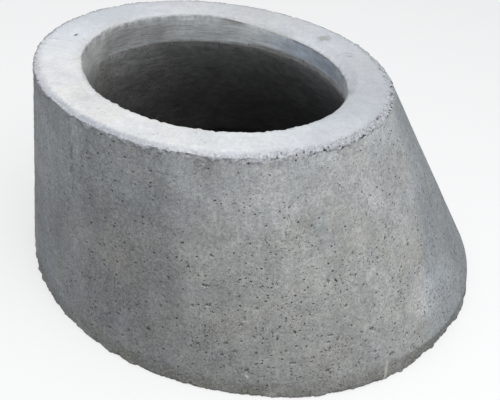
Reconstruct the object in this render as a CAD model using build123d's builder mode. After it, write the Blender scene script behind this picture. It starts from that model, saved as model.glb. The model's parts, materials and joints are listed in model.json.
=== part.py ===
from build123d import *
import os

# Precast manhole cone: one concrete casting that narrows a round shaft to an
# off-centre access opening. Millimetres, +Z up, origin at the centre of the
# foot ring on the ground. The upright side of the cone faces -X.

# Driving dimensions of the casting
overall_height = 570
shaft_radius = 500
opening_radius = 300
foot_wall = 100
rim_wall = 100

# Straight skirt at the foot, below the slanting wall
skirt_height = 50

# Straight throat below the access opening, and the rounded lip at its mouth
throat_height = 80
lip_radius = 20

# Sloping edge round the flat top ring
rim_bevel_width = 14
rim_bevel_drop = 4

# Joint rebate inside the foot, which sits over the top of the shaft ring below
joint_leaf = 48
joint_depth = 45

# Every cut runs past the face that it opens through by this much
overrun = 10

# Sizes that follow from those above
foot_radius = shaft_radius + foot_wall
rim_radius = opening_radius + rim_wall
joint_radius = foot_radius - joint_leaf
opening_offset = foot_radius - rim_radius
opening_place = (-opening_offset, 0)
throat_bottom = overall_height - throat_height

os.makedirs("parts", exist_ok=True)

with BuildPart() as cone:
    # Skirt: a plain cylinder up to the line where the slanting wall begins
    with BuildSketch(Plane.XY):
        Circle(foot_radius)
    extrude(amount=skirt_height)

    # Slanting wall: straight lines from the skirt to the off-centre rim
    with BuildSketch(Plane.XY.offset(skirt_height)):
        Circle(foot_radius)
    with BuildSketch(Plane.XY.offset(overall_height)):
        with Locations(opening_place):
            Circle(rim_radius)
    loft(ruled=True)

    # Sloping edge of the top ring, taken off before the opening is cut
    top_face = cone.faces().sort_by(Axis.Z)[-1]
    chamfer(top_face.edges(), rim_bevel_width, rim_bevel_drop, reference=top_face)

    # Access opening: the upright throat, then the hollow that widens down to
    # the shaft along straight lines, upright on the side that faces -X
    with BuildSketch(Plane.XY.offset(throat_bottom)):
        with Locations(opening_place):
            Circle(opening_radius)
    extrude(amount=throat_height + overrun, mode=Mode.SUBTRACT)
    with BuildSketch(Plane.XY.offset(throat_bottom)):
        with Locations(opening_place):
            Circle(opening_radius)
    with BuildSketch(Plane.XY.offset(joint_depth)):
        Circle(shaft_radius)
    loft(ruled=True, mode=Mode.SUBTRACT)

    # Joint rebate in the foot, whose shoulder rests on the shaft ring below
    with BuildSketch(Plane.XY.offset(-overrun)):
        Circle(joint_radius)
    extrude(amount=joint_depth + overrun, mode=Mode.SUBTRACT)

    # Rounded lip where the flat top turns down into the throat
    rim_face = cone.faces().sort_by(Axis.Z)[-1]
    fillet(rim_face.edges().sort_by(SortBy.LENGTH)[0], lip_radius)

cone.part.label = "cone"
export_step(cone.part, "parts/cone.step")
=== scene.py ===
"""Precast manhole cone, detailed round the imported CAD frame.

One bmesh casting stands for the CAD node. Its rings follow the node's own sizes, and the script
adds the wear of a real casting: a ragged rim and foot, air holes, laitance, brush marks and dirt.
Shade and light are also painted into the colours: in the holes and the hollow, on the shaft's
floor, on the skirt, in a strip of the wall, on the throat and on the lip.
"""
import json
import math
import random

import bmesh
import bpy
from mathutils import Matrix, Vector, noise
from mathutils.kdtree import KDTree


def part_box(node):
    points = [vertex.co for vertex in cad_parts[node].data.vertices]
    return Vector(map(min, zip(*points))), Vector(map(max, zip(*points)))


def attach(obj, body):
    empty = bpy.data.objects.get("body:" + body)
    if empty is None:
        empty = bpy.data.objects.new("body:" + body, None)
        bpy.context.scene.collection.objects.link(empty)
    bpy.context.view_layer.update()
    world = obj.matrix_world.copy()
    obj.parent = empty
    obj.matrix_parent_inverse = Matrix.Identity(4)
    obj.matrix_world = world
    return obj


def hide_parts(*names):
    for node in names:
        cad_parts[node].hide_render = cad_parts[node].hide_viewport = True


bl_info = {
    "name": "Precast manhole cone",
    "version": (1, 0, 0),
    "blender": (4, 5, 0),
    "location": "3D View > Sidebar > Manhole cone",
    "description": "Builds a weathered off-centre concrete manhole cone and its studio",
    "category": "Object",
}

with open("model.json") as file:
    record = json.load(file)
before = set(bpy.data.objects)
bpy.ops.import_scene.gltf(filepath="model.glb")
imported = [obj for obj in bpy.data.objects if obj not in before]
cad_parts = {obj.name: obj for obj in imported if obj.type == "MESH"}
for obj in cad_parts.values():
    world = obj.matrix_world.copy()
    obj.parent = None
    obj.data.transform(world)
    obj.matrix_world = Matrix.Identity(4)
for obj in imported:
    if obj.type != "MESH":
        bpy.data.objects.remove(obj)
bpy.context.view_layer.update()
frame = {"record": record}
mounts = {mount["name"]: mount for mount in frame["record"]["mounts"]}
_, cone_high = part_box("cone")

MILLIMETRE = 0.001
FOOT = cone_high.x
HEIGHT = cone_high.z
OPENING = mounts["access_opening"]["dims"]["r_mm"] * MILLIMETRE
SHIFT = mounts["access_opening"]["pos_m"][0]
SOCKET = mounts["foot_socket"]["dims"]["r_mm"] * MILLIMETRE
SHOULDER = mounts["joint_shoulder"]["pos_m"][2]


def length(name, description, default, **more):
    """A property for a length in metres."""
    return bpy.props.FloatProperty(
        name=name, description=description, default=default, unit="LENGTH", **more
    )


def turn(name, description, degrees):
    """A property for an angle, whose default is given in degrees."""
    return bpy.props.FloatProperty(
        name=name, description=description, default=math.radians(degrees), subtype="ANGLE"
    )


def colour(name, description, default):
    """A property for a linear colour."""
    return bpy.props.FloatVectorProperty(
        name=name, description=description, default=default, subtype="COLOR", size=3, min=0, max=2
    )


def share(name, description, default):
    """A property for a plain number."""
    return bpy.props.FloatProperty(name=name, description=description, default=default)


class ConeSizes(bpy.types.PropertyGroup):
    """Sizes of the casting. The main defaults come from the frame; the others are given."""

    foot_radius: length("Foot radius", "Outside of the foot ring", FOOT)
    height: length("Height", "From the ground to the top ring", HEIGHT)
    opening_radius: length("Opening radius", "Access opening in the top ring", OPENING)
    shift: length("Shift", "Place of the opening's centre along X", SHIFT)
    rim_radius: length("Rim radius", "Outside of the top ring", FOOT + SHIFT)
    socket_radius: length("Socket radius", "Joint rebate in the foot", SOCKET)
    shoulder_height: length("Shoulder height", "Depth of the joint rebate", SHOULDER)
    shaft_radius: length("Shaft radius", "Hollow where it meets the rebate", 0.500)
    skirt_height: length("Skirt height", "Straight skirt at the foot", 0.050)
    throat_height: length("Throat height", "Straight throat below the opening", 0.080)
    throat_draft: length("Throat draft", "How far the throat's far side leans out", 0.0075)
    bevel_width: length("Bevel width", "Sloping edge of the top ring, across", 0.014)
    bevel_drop: length("Bevel drop", "Sloping edge of the top ring, down", 0.004)
    lip_radius: length("Lip radius", "Rounded edge of the opening", 0.020)
    segments: bpy.props.IntProperty(
        name="Segments", description="Cells in each ring", default=576, min=48
    )


class ConeWear(bpy.types.PropertyGroup):
    """How worn and rough the casting is."""

    waviness: length("Waviness", "Slow unevenness of the cast faces", 0.0010)
    roughness: length("Roughness", "Fine unevenness of the cast faces", 0.00030)
    rim_ragged: length("Ragged rim", "Unevenness of the rim's outer edge", 0.0026)
    lip_ragged: length("Ragged lip", "Unevenness of the opening's edge", 0.0020)
    foot_ragged: length("Ragged foot", "Chipping of the foot's outer edge", 0.0050)
    rim_spill: length("Slurry over the rim", "How far set slurry stands proud of the wall", 0.0026)
    rim_pits: length("Rim pits", "Depth of the pits in the broken part of the rim", 0.0050)
    foot_spill: length("Foot spill", "How far spilled concrete stands out at the foot", 0.0095)
    hole_share: share("Air holes", "Share of cells that hold an air hole", 0.030)
    seed: bpy.props.IntProperty(name="Seed", description="Start of the random draws", default=7)


class ConeFinish(bpy.types.PropertyGroup):
    """Colours of the concrete."""

    side: colour("Side", "Cast face of the cone", (0.510, 0.512, 0.498))
    side_dark: colour("Side, dark", "Damp patches of the cast face", (0.355, 0.357, 0.348))
    cool: colour("Cool tint", "Bluish cast of the cement where it is smooth", (0.935, 0.985, 1.065))
    blue: colour("Blue tint", "Bluer cast of the throat on the right", (0.962, 0.990, 1.050))
    cream: colour("Cream tint", "Yellowish cast on the top ring", (1.030, 1.004, 0.945))
    warm: colour("Warm tint", "Rusty cast of the cement in soft patches", (1.012, 1.002, 0.976))
    top: colour("Top", "Floated top ring", (0.672, 0.682, 0.697))
    top_dark: colour("Top, dark", "Dull patches of the top ring", (0.550, 0.560, 0.580))
    bevel: colour("Bevel", "Sloping edge of the top ring", (0.345, 0.366, 0.405))
    crumb: colour("Crumbs", "White slurry set on the rim's outer edge", (0.490, 0.506, 0.538))
    broken: colour("Broken rim", "Mottled grey where the rim is broken", (0.450, 0.464, 0.488))
    throat: colour("Throat", "Brushed throat", (0.540, 0.555, 0.560))
    # The hollow's colour is much darker than the outer faces: painted shade inside the cone
    hollow: colour("Hollow", "Inside of the cone", (0.200, 0.200, 0.197))
    laitance: colour("Laitance", "Bluish white cement skin", (0.500, 0.535, 0.610))
    # Also darkens the skirt, partly as painted shade under the leaning wall on the right, and the
    # stains on the top ring
    dirt: colour("Dirt", "Soil on the skirt", (0.205, 0.196, 0.160))
    # The air holes' colour: their dark bottoms and the fine pores are painted shade
    hole: colour("Air hole", "Bottom of the air holes", (0.052, 0.050, 0.047))
    chip: colour("Chip", "Fresh chips and scratches", (0.780, 0.770, 0.730))


class ConeStage(bpy.types.PropertyGroup):
    """Floor, lamps and camera."""

    floor_size: length("Floor size", "Side of the floor", 40.0)
    floor_colour: colour("Floor", "Pale studio floor", (0.90, 0.90, 0.90))
    floor_glow: share("Floor glow", "How far the floor shows as white to the camera", 0.60)
    # Painted shade: a dark patch of floor under the cone, seen down the shaft
    shaft_shade_colour: colour("Shaft ground", "Dark ground seen down the shaft", (0.02, 0.02, 0.02))
    overhead_power: share("Overhead lamp", "Power of the large soft lamp in watts", 15.0)
    key_power: share("Front lamp", "Power of the lamp in front in watts", 66.0)
    ambient: share("Ambient", "Strength of the even light from the world", 0.54)
    camera_distance: length("Camera distance", "From the aim point", 1.6998)
    camera_azimuth: turn("Camera azimuth", "Direction of the camera, from +X", -137.65)
    camera_elevation: turn("Camera elevation", "Height of the camera above the horizon", 34.45)
    camera_roll: turn("Camera roll", "Turn of the camera about its line of sight", 7.80)
    camera_aim: bpy.props.FloatVectorProperty(
        name="Camera aim",
        description="Point in the middle of the view",
        default=(-0.2054, -0.1600, 0.2850),
        subtype="TRANSLATION",
        size=3,
    )
    lens: bpy.props.FloatProperty(
        name="Lens", description="Focal length in millimetres", default=51.84
    )


# Shader nodes


def place(tree, kind, at, settings=None, values=None):
    """Put a node in the tree, with its settings and the values of its sockets."""
    made = tree.nodes.new(kind)
    made.location = (at[0] * 190, at[1] * 170)
    for name, value in (settings or {}).items():
        setattr(made, name, value)
    for name, value in (values or {}).items():
        made.inputs[name].default_value = value
    return made


def feed(tree, source, socket):
    """Link an output to a socket, or set the socket to a plain value."""
    if isinstance(source, bpy.types.NodeSocket):
        tree.links.new(source, socket)
    else:
        socket.default_value = source


def sums(tree, at, operation, first, second=0.0, third=0.0):
    """A Math node; gives its output."""
    made = place(tree, "ShaderNodeMath", at, {"operation": operation})
    for socket, source in zip(made.inputs, (first, second, third)):
        feed(tree, source, socket)
    return made.outputs[0]


def vectors(tree, at, operation, *sources, result="Vector"):
    """A Vector Math node; gives its output."""
    made = place(tree, "ShaderNodeVectorMath", at, {"operation": operation})
    for socket, source in zip(made.inputs, sources):
        feed(tree, source, socket)
    return made.outputs[result]


def joined(tree, at, kind, *sources):
    """A node that joins three values into a vector or a colour; gives its output."""
    made = place(tree, kind, at)
    for socket, source in zip(made.inputs, sources):
        feed(tree, source, socket)
    return made.outputs[0]


def ramp(tree, at, value, low, high, out_low=0.0, out_high=1.0):
    """A smooth Map Range from low..high to out_low..out_high; gives its output."""
    made = place(tree, "ShaderNodeMapRange", at, {"interpolation_type": "SMOOTHSTEP"})
    feed(tree, value, made.inputs["Value"])
    feed(tree, low, made.inputs["From Min"])
    feed(tree, high, made.inputs["From Max"])
    feed(tree, out_low, made.inputs["To Min"])
    feed(tree, out_high, made.inputs["To Max"])
    return made.outputs["Result"]


def rgba(values):
    """A linear colour with full alpha, from a colour property."""
    return (values[0], values[1], values[2], 1.0)


def blend(tree, at, factor, first, second, mode="MIX"):
    """A Mix node for colours; gives its output."""
    made = place(tree, "ShaderNodeMix", at, {"data_type": "RGBA", "blend_type": mode})
    feed(tree, factor, made.inputs[0])
    feed(tree, first, made.inputs[6])
    feed(tree, second, made.inputs[7])
    return made.outputs[2]


def cloud(tree, at, vector, scale, detail=3.0, rough=0.55, distortion=0.0):
    """A noise texture on the given coordinates; gives its value."""
    made = place(
        tree,
        "ShaderNodeTexNoise",
        at,
        {"noise_dimensions": "3D"},
        {"Detail": detail, "Roughness": rough, "Distortion": distortion},
    )
    feed(tree, scale, made.inputs["Scale"])
    feed(tree, vector, made.inputs["Vector"])
    return made.outputs["Fac"]


def attribute(tree, at, name, kind="Fac"):
    """A mask or a vector that the casting carries on its vertices."""
    made = place(tree, "ShaderNodeAttribute", at, {"attribute_name": name})
    return made.outputs[kind]


def group_of(name, inputs, outputs):
    """A new shader node group; gives it with the sockets of its input and output nodes.

    An input without a default takes a vector. Every other socket holds a number.
    """
    group = bpy.data.node_groups.new(name, "ShaderNodeTree")
    for label, default in inputs.items():
        kind = "NodeSocketVector" if default is None else "NodeSocketFloat"
        socket = group.interface.new_socket(name=label, in_out="INPUT", socket_type=kind)
        if default is not None:
            socket.default_value = default
    for label in outputs:
        group.interface.new_socket(name=label, in_out="OUTPUT", socket_type="NodeSocketFloat")
    entry = place(group, "NodeGroupInput", (-6, 0))
    leave = place(group, "NodeGroupOutput", (8, 0))
    return group, entry.outputs, leave.inputs


def use_group(tree, at, group, **values):
    """Place a shader node group; gives its outputs."""
    made = place(tree, "ShaderNodeGroup", at)
    made.node_tree = group
    for name, source in values.items():
        feed(tree, source, made.inputs[name.replace("_", " ").capitalize()])
    return made.outputs


def mottle_group():
    """Cloudy tone of cast concrete: slow patches, blotches and sand grain."""
    group, given, out = group_of(
        "Concrete mottle",
        {"Vector": None, "Patch": 7.0, "Blotch": 45.0, "Grain": 420.0},
        ("Tone", "Sand", "Tinge", "Height"),
    )
    patch = cloud(group, (-3, 2), given["Vector"], given["Patch"], 4.0, 0.6, 0.6)
    blotch = cloud(group, (-3, 0), given["Vector"], given["Blotch"], 4.0, 0.62, 0.4)
    sharp = cloud(group, (-3, -2), given["Vector"], given["Grain"], 3.0, 0.7)
    gravel = cloud(group, (-3, -3), given["Vector"], 150.0, 2.0, 0.6)
    sand = sums(group, (-1, -2), "MULTIPLY", sharp, 0.62)
    sand = sums(group, (0, -2), "MULTIPLY_ADD", gravel, 0.38, sand)
    slow = sums(group, (0, 2), "MULTIPLY", patch, 0.50)
    mid = sums(group, (0, 1), "MULTIPLY_ADD", blotch, 0.36, slow)
    tone = sums(group, (2, 1), "MULTIPLY_ADD", sand, 0.14, mid)
    feed(group, ramp(group, (4, 1), tone, 0.36, 0.66), out["Tone"])
    feed(group, ramp(group, (4, 0), sand, 0.33, 0.68), out["Sand"])
    moved = vectors(group, (-5, -4), "ADD", given["Vector"], (3.1, 1.7, 5.3))
    drift = cloud(group, (-3, -4), moved, 11.0, 5.0, 0.6, 0.3)
    feed(group, ramp(group, (4, -4), drift, 0.38, 0.66), out["Tinge"])
    feed(group, sums(group, (4, -2), "MULTIPLY_ADD", sand, 0.35, blotch), out["Height"])
    return group


def pore_group():
    """Small air holes that are too fine for the mesh: a mask, and a height for the bump."""
    group, given, out = group_of(
        "Concrete pores",
        {"Vector": None, "Scale": 150.0, "Share": 0.25, "Size": 0.28, "Flatness": 1.35},
        ("Mask", "Height"),
    )
    warp = place(
        group, "ShaderNodeTexNoise", (-4, -2), None, {"Scale": 160.0, "Detail": 2.0}
    )
    feed(group, given["Vector"], warp.inputs["Vector"])
    amount = (0.005, 0.005, 0.005)
    source = warp.outputs["Color"]
    bend = vectors(group, (-2, -1), "MULTIPLY_ADD", source, amount, given["Vector"])
    squeeze = joined(group, (-2, -3), "ShaderNodeCombineXYZ", 1.0, 1.0, given["Flatness"])
    flat = vectors(group, (-1, -1), "MULTIPLY", bend, squeeze)
    cells = place(group, "ShaderNodeTexVoronoi", (0, 0), {"feature": "F1"})
    feed(group, flat, cells.inputs["Vector"])
    feed(group, given["Scale"], cells.inputs["Scale"])
    draw = place(group, "ShaderNodeSeparateColor", (2, -1))
    feed(group, cells.outputs["Color"], draw.inputs["Color"])
    present = sums(group, (3, -1), "LESS_THAN", draw.outputs["Red"], given["Share"])
    reach = sums(group, (3, -2), "MULTIPLY_ADD", draw.outputs["Green"], 0.7, 0.5)
    edge = sums(group, (4, -2), "MULTIPLY", reach, given["Size"])
    start = sums(group, (5, -2), "MULTIPLY", edge, 0.55)
    hollow = ramp(group, (6, 0), cells.outputs["Distance"], start, edge, 1.0, 0.0)
    mask = sums(group, (7, 0), "MULTIPLY", hollow, present)
    feed(group, mask, out["Mask"])
    feed(group, sums(group, (7, -2), "MULTIPLY", mask, -1.0), out["Height"])
    return group


def streak_group():
    """Marks along a face. Wrap holds the cosine and sine round the casting, and the height."""
    sockets = {"Wrap": None, "Around": 30.0, "Along": 2.0}
    group, given, out = group_of("Form streaks", sockets, ("Tone",))
    around, along = given["Around"], given["Along"]
    spread = joined(group, (-3, 0), "ShaderNodeCombineXYZ", around, around, along)
    stretch = vectors(group, (-1, 0), "MULTIPLY", given["Wrap"], spread)
    fine = cloud(group, (1, 0), stretch, 1.0, 5.0, 0.65)
    feed(group, ramp(group, (4, 0), fine, 0.30, 0.70), out["Tone"])
    return group


def crumble_group():
    """The rim's broken outer edge: a mask that is 1 where Reach is below 0, with torn bounds."""
    group, given, out = group_of("Crumbled edge", {"Vector": None, "Reach": 0.0}, ("Mask",))
    coarse = cloud(group, (-3, 1), given["Vector"], 75.0, 3.0, 0.6)
    fine = cloud(group, (-3, -1), given["Vector"], 260.0, 3.0, 0.65)
    torn = sums(group, (0, 1), "MULTIPLY_ADD", coarse, 0.018, -0.010)
    torn = sums(group, (1, 0), "MULTIPLY_ADD", fine, 0.018, torn)
    torn = sums(group, (2, 0), "ADD", torn, given["Reach"])
    feed(group, ramp(group, (4, 0), torn, 0.0065, 0.0085, 1.0, 0.0), out["Mask"])
    return group


def rough_dressed(tree, at, colour_source, height, roughness, depth):
    """Principled BSDF with a bump, linked to the material's output."""
    shader = place(tree, "ShaderNodeBsdfPrincipled", at)
    shader.inputs["Specular IOR Level"].default_value = 0.25
    feed(tree, colour_source, shader.inputs["Base Color"])
    feed(tree, roughness, shader.inputs["Roughness"])
    bump = place(tree, "ShaderNodeBump", (at[0] - 2, at[1] - 3), None, {"Strength": 1.0})
    bump.inputs["Distance"].default_value = depth
    feed(tree, height, bump.inputs["Height"])
    feed(tree, bump.outputs["Normal"], shader.inputs["Normal"])
    output = place(tree, "ShaderNodeOutputMaterial", (at[0] + 2, at[1]))
    feed(tree, shader.outputs["BSDF"], output.inputs["Surface"])


def empty_material(name):
    """A material with nothing in its node tree."""
    material = bpy.data.materials.new(name)
    material.use_nodes = True
    material.node_tree.nodes.clear()
    return material


def object_coordinates(tree, at):
    """The casting's own coordinates."""
    return place(tree, "ShaderNodeTexCoord", at).outputs["Object"]


def tinted(tree, at, skin, amount, tint):
    """The skin multiplied by a tint, where the amount says."""
    coloured = blend(tree, (at[0] - 1, at[1]), 1.0, skin, rgba(tint), "MULTIPLY")
    return blend(tree, at, amount, skin, coloured)


def shaded(tree, at, skin, value):
    """The skin made darker or paler by a value."""
    return blend(tree, at, 1.0, skin, grey_of(tree, (at[0] - 1, at[1]), value), "MULTIPLY")


def cast_side_material(finish, groups):
    """Side of the cone: mottled grey with air holes painted dark as shade, laitance, and a dirty
    skirt that is darker on the right as painted shade under the wall.
    """
    material = empty_material("cast_side")
    tree = material.node_tree
    here = object_coordinates(tree, (-8, 0))
    wrap = attribute(tree, (-8, -3), "wrap", "Vector")
    mottle = use_group(tree, (-5, 3), groups["mottle"], vector=here)
    thick = ramp(tree, (-7, -5), attribute(tree, (-8, -5), "pitting"), 0.0, 1.0, 0.10, 0.46)
    pores = use_group(
        tree, (-5, 0), groups["pores"], vector=here, scale=120.0, share=thick, size=0.33
    )
    pinholes = use_group(
        tree, (-5, -2), groups["pores"], vector=here, scale=300.0, share=thick, size=0.40
    )
    streaks = use_group(tree, (-5, -4), groups["streaks"], wrap=wrap, around=22.0, along=2.4)
    tone = sums(tree, (-3, 3), "MULTIPLY_ADD", streaks["Tone"], 0.26, -0.13)
    tone = sums(tree, (-2, 3), "ADD", mottle["Tone"], tone)
    skin = blend(tree, (0, 3), tone, rgba(finish.side_dark), rgba(finish.side))
    skin = shaded(tree, (1, 3), skin, attribute(tree, (-3, 5), "shade"))
    skin = tinted(tree, (2, 3), skin, attribute(tree, (-3, 6), "cool"), finish.cool)
    skin = tinted(tree, (3, 3), skin, mottle["Tinge"], finish.warm)
    skin = blend(tree, (4, 3), attribute(tree, (-3, 7), "laitance"), skin, rgba(finish.laitance))
    soil = attribute(tree, (-3, 8), "soil")
    patchy = sums(tree, (0, 7), "SUBTRACT", 1.25, mottle["Sand"])
    soiled_and_shaded = sums(tree, (1, 7), "MULTIPLY", soil, patchy)
    skin = blend(tree, (5, 3), soiled_and_shaded, skin, rgba(finish.dirt))
    flecks = ramp(tree, (2, 6), mottle["Sand"], 0.0, 1.0, 0.76, 1.18)
    skin = shaded(tree, (6, 3), skin, flecks)
    crest = attribute(tree, (-3, 9), "crest")
    slurry = use_group(tree, (-1, 9), groups["crumble"], vector=here, reach=crest)
    slurry_tone = broken_tone(tree, (4, 9), finish, mottle["Sand"])
    skin = blend(tree, (7, 3), slurry["Mask"], skin, slurry_tone)
    # Air holes, rim pits and fine pores are painted dark towards their bottoms: painted shade
    hole = ramp(tree, (1, 0), attribute(tree, (0, 0), "hole"), 0.0, 0.6)
    fine = sums(tree, (2, -1), "MULTIPLY", pinholes["Mask"], 0.55)
    small = sums(tree, (2, -2), "MULTIPLY_ADD", pores["Mask"], 0.85, fine)
    dark = sums(tree, (3, 0), "MAXIMUM", hole, small)
    skin = blend(tree, (8, 3), dark, skin, rgba(finish.hole))
    skin = blend(tree, (9, 3), attribute(tree, (-3, 10), "chip"), skin, rgba(finish.chip))
    height = sums(tree, (4, -3), "MULTIPLY_ADD", pores["Height"], 1.4, mottle["Height"])
    height = sums(tree, (5, -3), "MULTIPLY_ADD", pinholes["Height"], 0.7, height)
    rough = ramp(tree, (5, 0), mottle["Sand"], 0.0, 1.0, 0.95, 0.80)
    rough_dressed(tree, (12, 3), skin, height, rough, 0.0014)
    return material


def broken_tone(tree, at, finish, sand):
    """Colour of the rim's edge: white slurry in front on the left, mottled grey elsewhere."""
    whiteness = attribute(tree, (at[0] - 2, at[1]), "slurry")
    tone = blend(tree, at, whiteness, rgba(finish.broken), rgba(finish.crumb))
    grain = ramp(tree, (at[0] - 1, at[1] + 1), sand, 0.0, 1.0, 0.60, 1.18)
    return shaded(tree, (at[0] + 1, at[1]), tone, grain)


def oval(tree, at, here, sand, spot):
    """A mask that is 1 inside a small ragged oval: its place, turn in degrees and half sizes."""
    middle, turn, half = spot
    local = place(tree, "ShaderNodeMapping", at, {"vector_type": "TEXTURE"})
    feed(tree, here, local.inputs["Vector"])
    local.inputs["Location"].default_value = middle
    local.inputs["Rotation"].default_value = (0.0, 0.0, math.radians(turn))
    local.inputs["Scale"].default_value = (half[0], half[1], 1.0)
    span = vectors(tree, (at[0] + 1, at[1]), "LENGTH", local.outputs["Vector"], result="Value")
    ragged = sums(tree, (at[0] + 2, at[1]), "MULTIPLY_ADD", sand, 0.7, span)
    return ramp(tree, (at[0] + 3, at[1]), ragged, 0.8, 1.6, 1.0, 0.0)


def grey_of(tree, at, value):
    """A grey colour from a value, for multiplying."""
    return joined(tree, at, "ShaderNodeCombineColor", value, value, value)


def floated_top_material(finish, groups):
    """Top ring: pale floated concrete with a bluish bevel and a broken outer edge."""
    material = empty_material("floated_top")
    tree = material.node_tree
    here = object_coordinates(tree, (-8, 0))
    mottle = use_group(
        tree, (-5, 3), groups["mottle"], vector=here, patch=6.0, blotch=38.0, grain=380.0
    )
    pores = use_group(
        tree, (-5, 0), groups["pores"], vector=here, scale=95.0, share=0.05, size=0.2
    )
    skin = blend(tree, (0, 3), mottle["Tone"], rgba(finish.top_dark), rgba(finish.top))
    grain = ramp(tree, (-1, 6), mottle["Sand"], 0.0, 1.0, 0.94, 1.05)
    shade = sums(tree, (0, 5), "MULTIPLY", grain, attribute(tree, (-3, 5), "shade"))
    skin = shaded(tree, (1, 3), skin, shade)
    tinge = ramp(tree, (0, 8), mottle["Tinge"], 0.0, 1.0, 0.40, 1.0)
    cream = sums(tree, (1, 8), "MULTIPLY", attribute(tree, (-3, 7), "cream"), tinge)
    skin = tinted(tree, (2, 3), skin, cream, finish.cream)
    skin = tinted(tree, (3, 3), skin, attribute(tree, (-3, 8), "cool"), finish.cool)
    crest = attribute(tree, (-3, 9), "crest")
    inner = sums(tree, (-1, 10), "MULTIPLY_ADD", mottle["Sand"], 0.005, crest)
    slope = ramp(tree, (0, 10), inner, 0.0080, 0.0215, 1.0, 0.0)
    bevelled = sums(tree, (2, 10), "MULTIPLY", slope, attribute(tree, (-3, 11), "bevel"))
    skin = blend(tree, (4, 3), bevelled, skin, rgba(finish.bevel))
    outer = sums(tree, (-1, 12), "SUBTRACT", crest, 0.0040)
    crumbs = use_group(tree, (0, 12), groups["crumble"], vector=here, reach=outer)
    crumb_tone = broken_tone(tree, (3, 12), finish, mottle["Sand"])
    skin = blend(tree, (5, 3), crumbs["Mask"], skin, crumb_tone)
    throat = attribute(tree, (-3, 13), "throat")
    torn_throat = sums(tree, (-1, 13), "MULTIPLY_ADD", mottle["Sand"], 0.3, throat)
    throat = ramp(tree, (0, 13), torn_throat, 0.35, 0.95)
    skin = blend(tree, (6, 3), throat, skin, rgba(finish.throat))
    stain = oval(tree, (-2, 16), here, mottle["Sand"], RING_STAIN)
    smudge = oval(tree, (-2, 22), here, mottle["Sand"], RING_SMUDGE)
    faint = sums(tree, (2, 22), "MULTIPLY", smudge, 0.13)
    stained = sums(tree, (3, 16), "MULTIPLY_ADD", stain, 0.50, faint)
    skin = blend(tree, (7, 3), stained, skin, rgba(finish.dirt))
    # Air holes, rim pits, pores and the pit on the ring are painted dark: painted shade; the pit has
    # no depth at all
    hole = ramp(tree, (1, 0), attribute(tree, (0, 0), "hole"), 0.0, 0.6)
    hole = sums(tree, (2, 0), "MAXIMUM", hole, oval(tree, (-2, 19), here, mottle["Sand"], RING_PIT_SHADE))
    small = sums(tree, (2, -2), "MULTIPLY", pores["Mask"], 0.35)
    dark = sums(tree, (3, 0), "MAXIMUM", hole, small)
    skin = blend(tree, (8, 3), dark, skin, rgba(finish.hole))
    height = sums(tree, (4, -3), "ADD", pores["Height"], mottle["Height"])
    rough = ramp(tree, (5, 0), mottle["Sand"], 0.0, 1.0, 0.92, 0.78)
    rough_dressed(tree, (10, 3), skin, height, rough, 0.0007)
    return material


def cast_inside_material(finish, groups):
    """Throat and hollow: brushed marks round the throat; below it the hollow is rougher and painted
    darker as shade.
    """
    material = empty_material("cast_inside")
    tree = material.node_tree
    here = object_coordinates(tree, (-8, 0))
    wrap = attribute(tree, (-8, -3), "wrap", "Vector")
    mottle = use_group(tree, (-5, 3), groups["mottle"], vector=here, patch=9.0)
    thick = ramp(tree, (-7, -5), attribute(tree, (-8, -5), "pitting"), 0.0, 1.0, 0.16, 0.55)
    pores = use_group(
        tree, (-5, 0), groups["pores"], vector=here, scale=105.0, share=thick, size=0.32
    )
    brush = use_group(tree, (-5, -3), groups["streaks"], wrap=wrap, around=7.0, along=120.0)
    ruts = use_group(tree, (-5, -5), groups["streaks"], wrap=wrap, around=12.0, along=60.0)
    throat = attribute(tree, (-3, 6), "throat")
    skin = blend(tree, (0, 3), throat, rgba(finish.hollow), rgba(finish.throat))
    marks = ramp(tree, (-1, -3), brush["Tone"], 0.0, 1.0, 0.91, 1.07)
    torn = ramp(tree, (-1, -5), ruts["Tone"], 0.0, 1.0, 0.86, 1.13)
    brushed = shaded(tree, (0, 0), skin, marks)
    skin = blend(tree, (1, 3), throat, shaded(tree, (0, -5), skin, torn), brushed)
    skin = shaded(tree, (2, 3), skin, ramp(tree, (0, 5), mottle["Tone"], 0.0, 1.0, 0.84, 1.12))
    skin = shaded(tree, (3, 3), skin, attribute(tree, (-3, 7), "shade"))
    skin = tinted(tree, (4, 3), skin, attribute(tree, (-3, 8), "cream"), finish.cream)
    skin = tinted(tree, (5, 3), skin, attribute(tree, (-3, 9), "cool"), finish.cool)
    skin = tinted(tree, (6, 3), skin, attribute(tree, (-3, 10), "blue"), finish.blue)
    # Air holes and pores are painted dark towards their bottoms: painted shade
    hole = ramp(tree, (1, 0), attribute(tree, (0, 0), "hole"), 0.0, 0.6)
    rough_part = sums(tree, (0, 7), "MULTIPLY_ADD", throat, -0.70, 0.80)
    small = sums(tree, (2, -2), "MULTIPLY", pores["Mask"], rough_part)
    dark = sums(tree, (3, 0), "MAXIMUM", hole, small)
    skin = blend(tree, (7, 3), dark, skin, rgba(finish.hole))
    height = sums(tree, (4, -3), "MULTIPLY_ADD", pores["Height"], rough_part, mottle["Height"])
    height = sums(tree, (5, -3), "MULTIPLY_ADD", brush["Tone"], 0.5, height)
    rough = ramp(tree, (5, 0), mottle["Sand"], 0.0, 1.0, 0.95, 0.82)
    rough_dressed(tree, (9, 3), skin, height, rough, 0.0012)
    return material


# The casting's mesh

SIDE, TOP, INSIDE = 0, 1, 2
ARRIS = 0.004
THROAT_ARRIS = 0.003
LIP_STEPS = 6
CREST = 0.010
STEP_RISE = 0.004
# Vertices nearer than this are one, in metres
SAME_PLACE = 1e-5
# How far the skirt stands proud of the wall above it
SEAM_PROUD = 0.0010
# A cell's border when it is split off from its neighbours without moving, and a plain hole's edge
HAIR = 0.00002
HOLE_EDGE = 0.0004
HOLE_DEEPEST = 0.0050
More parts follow.
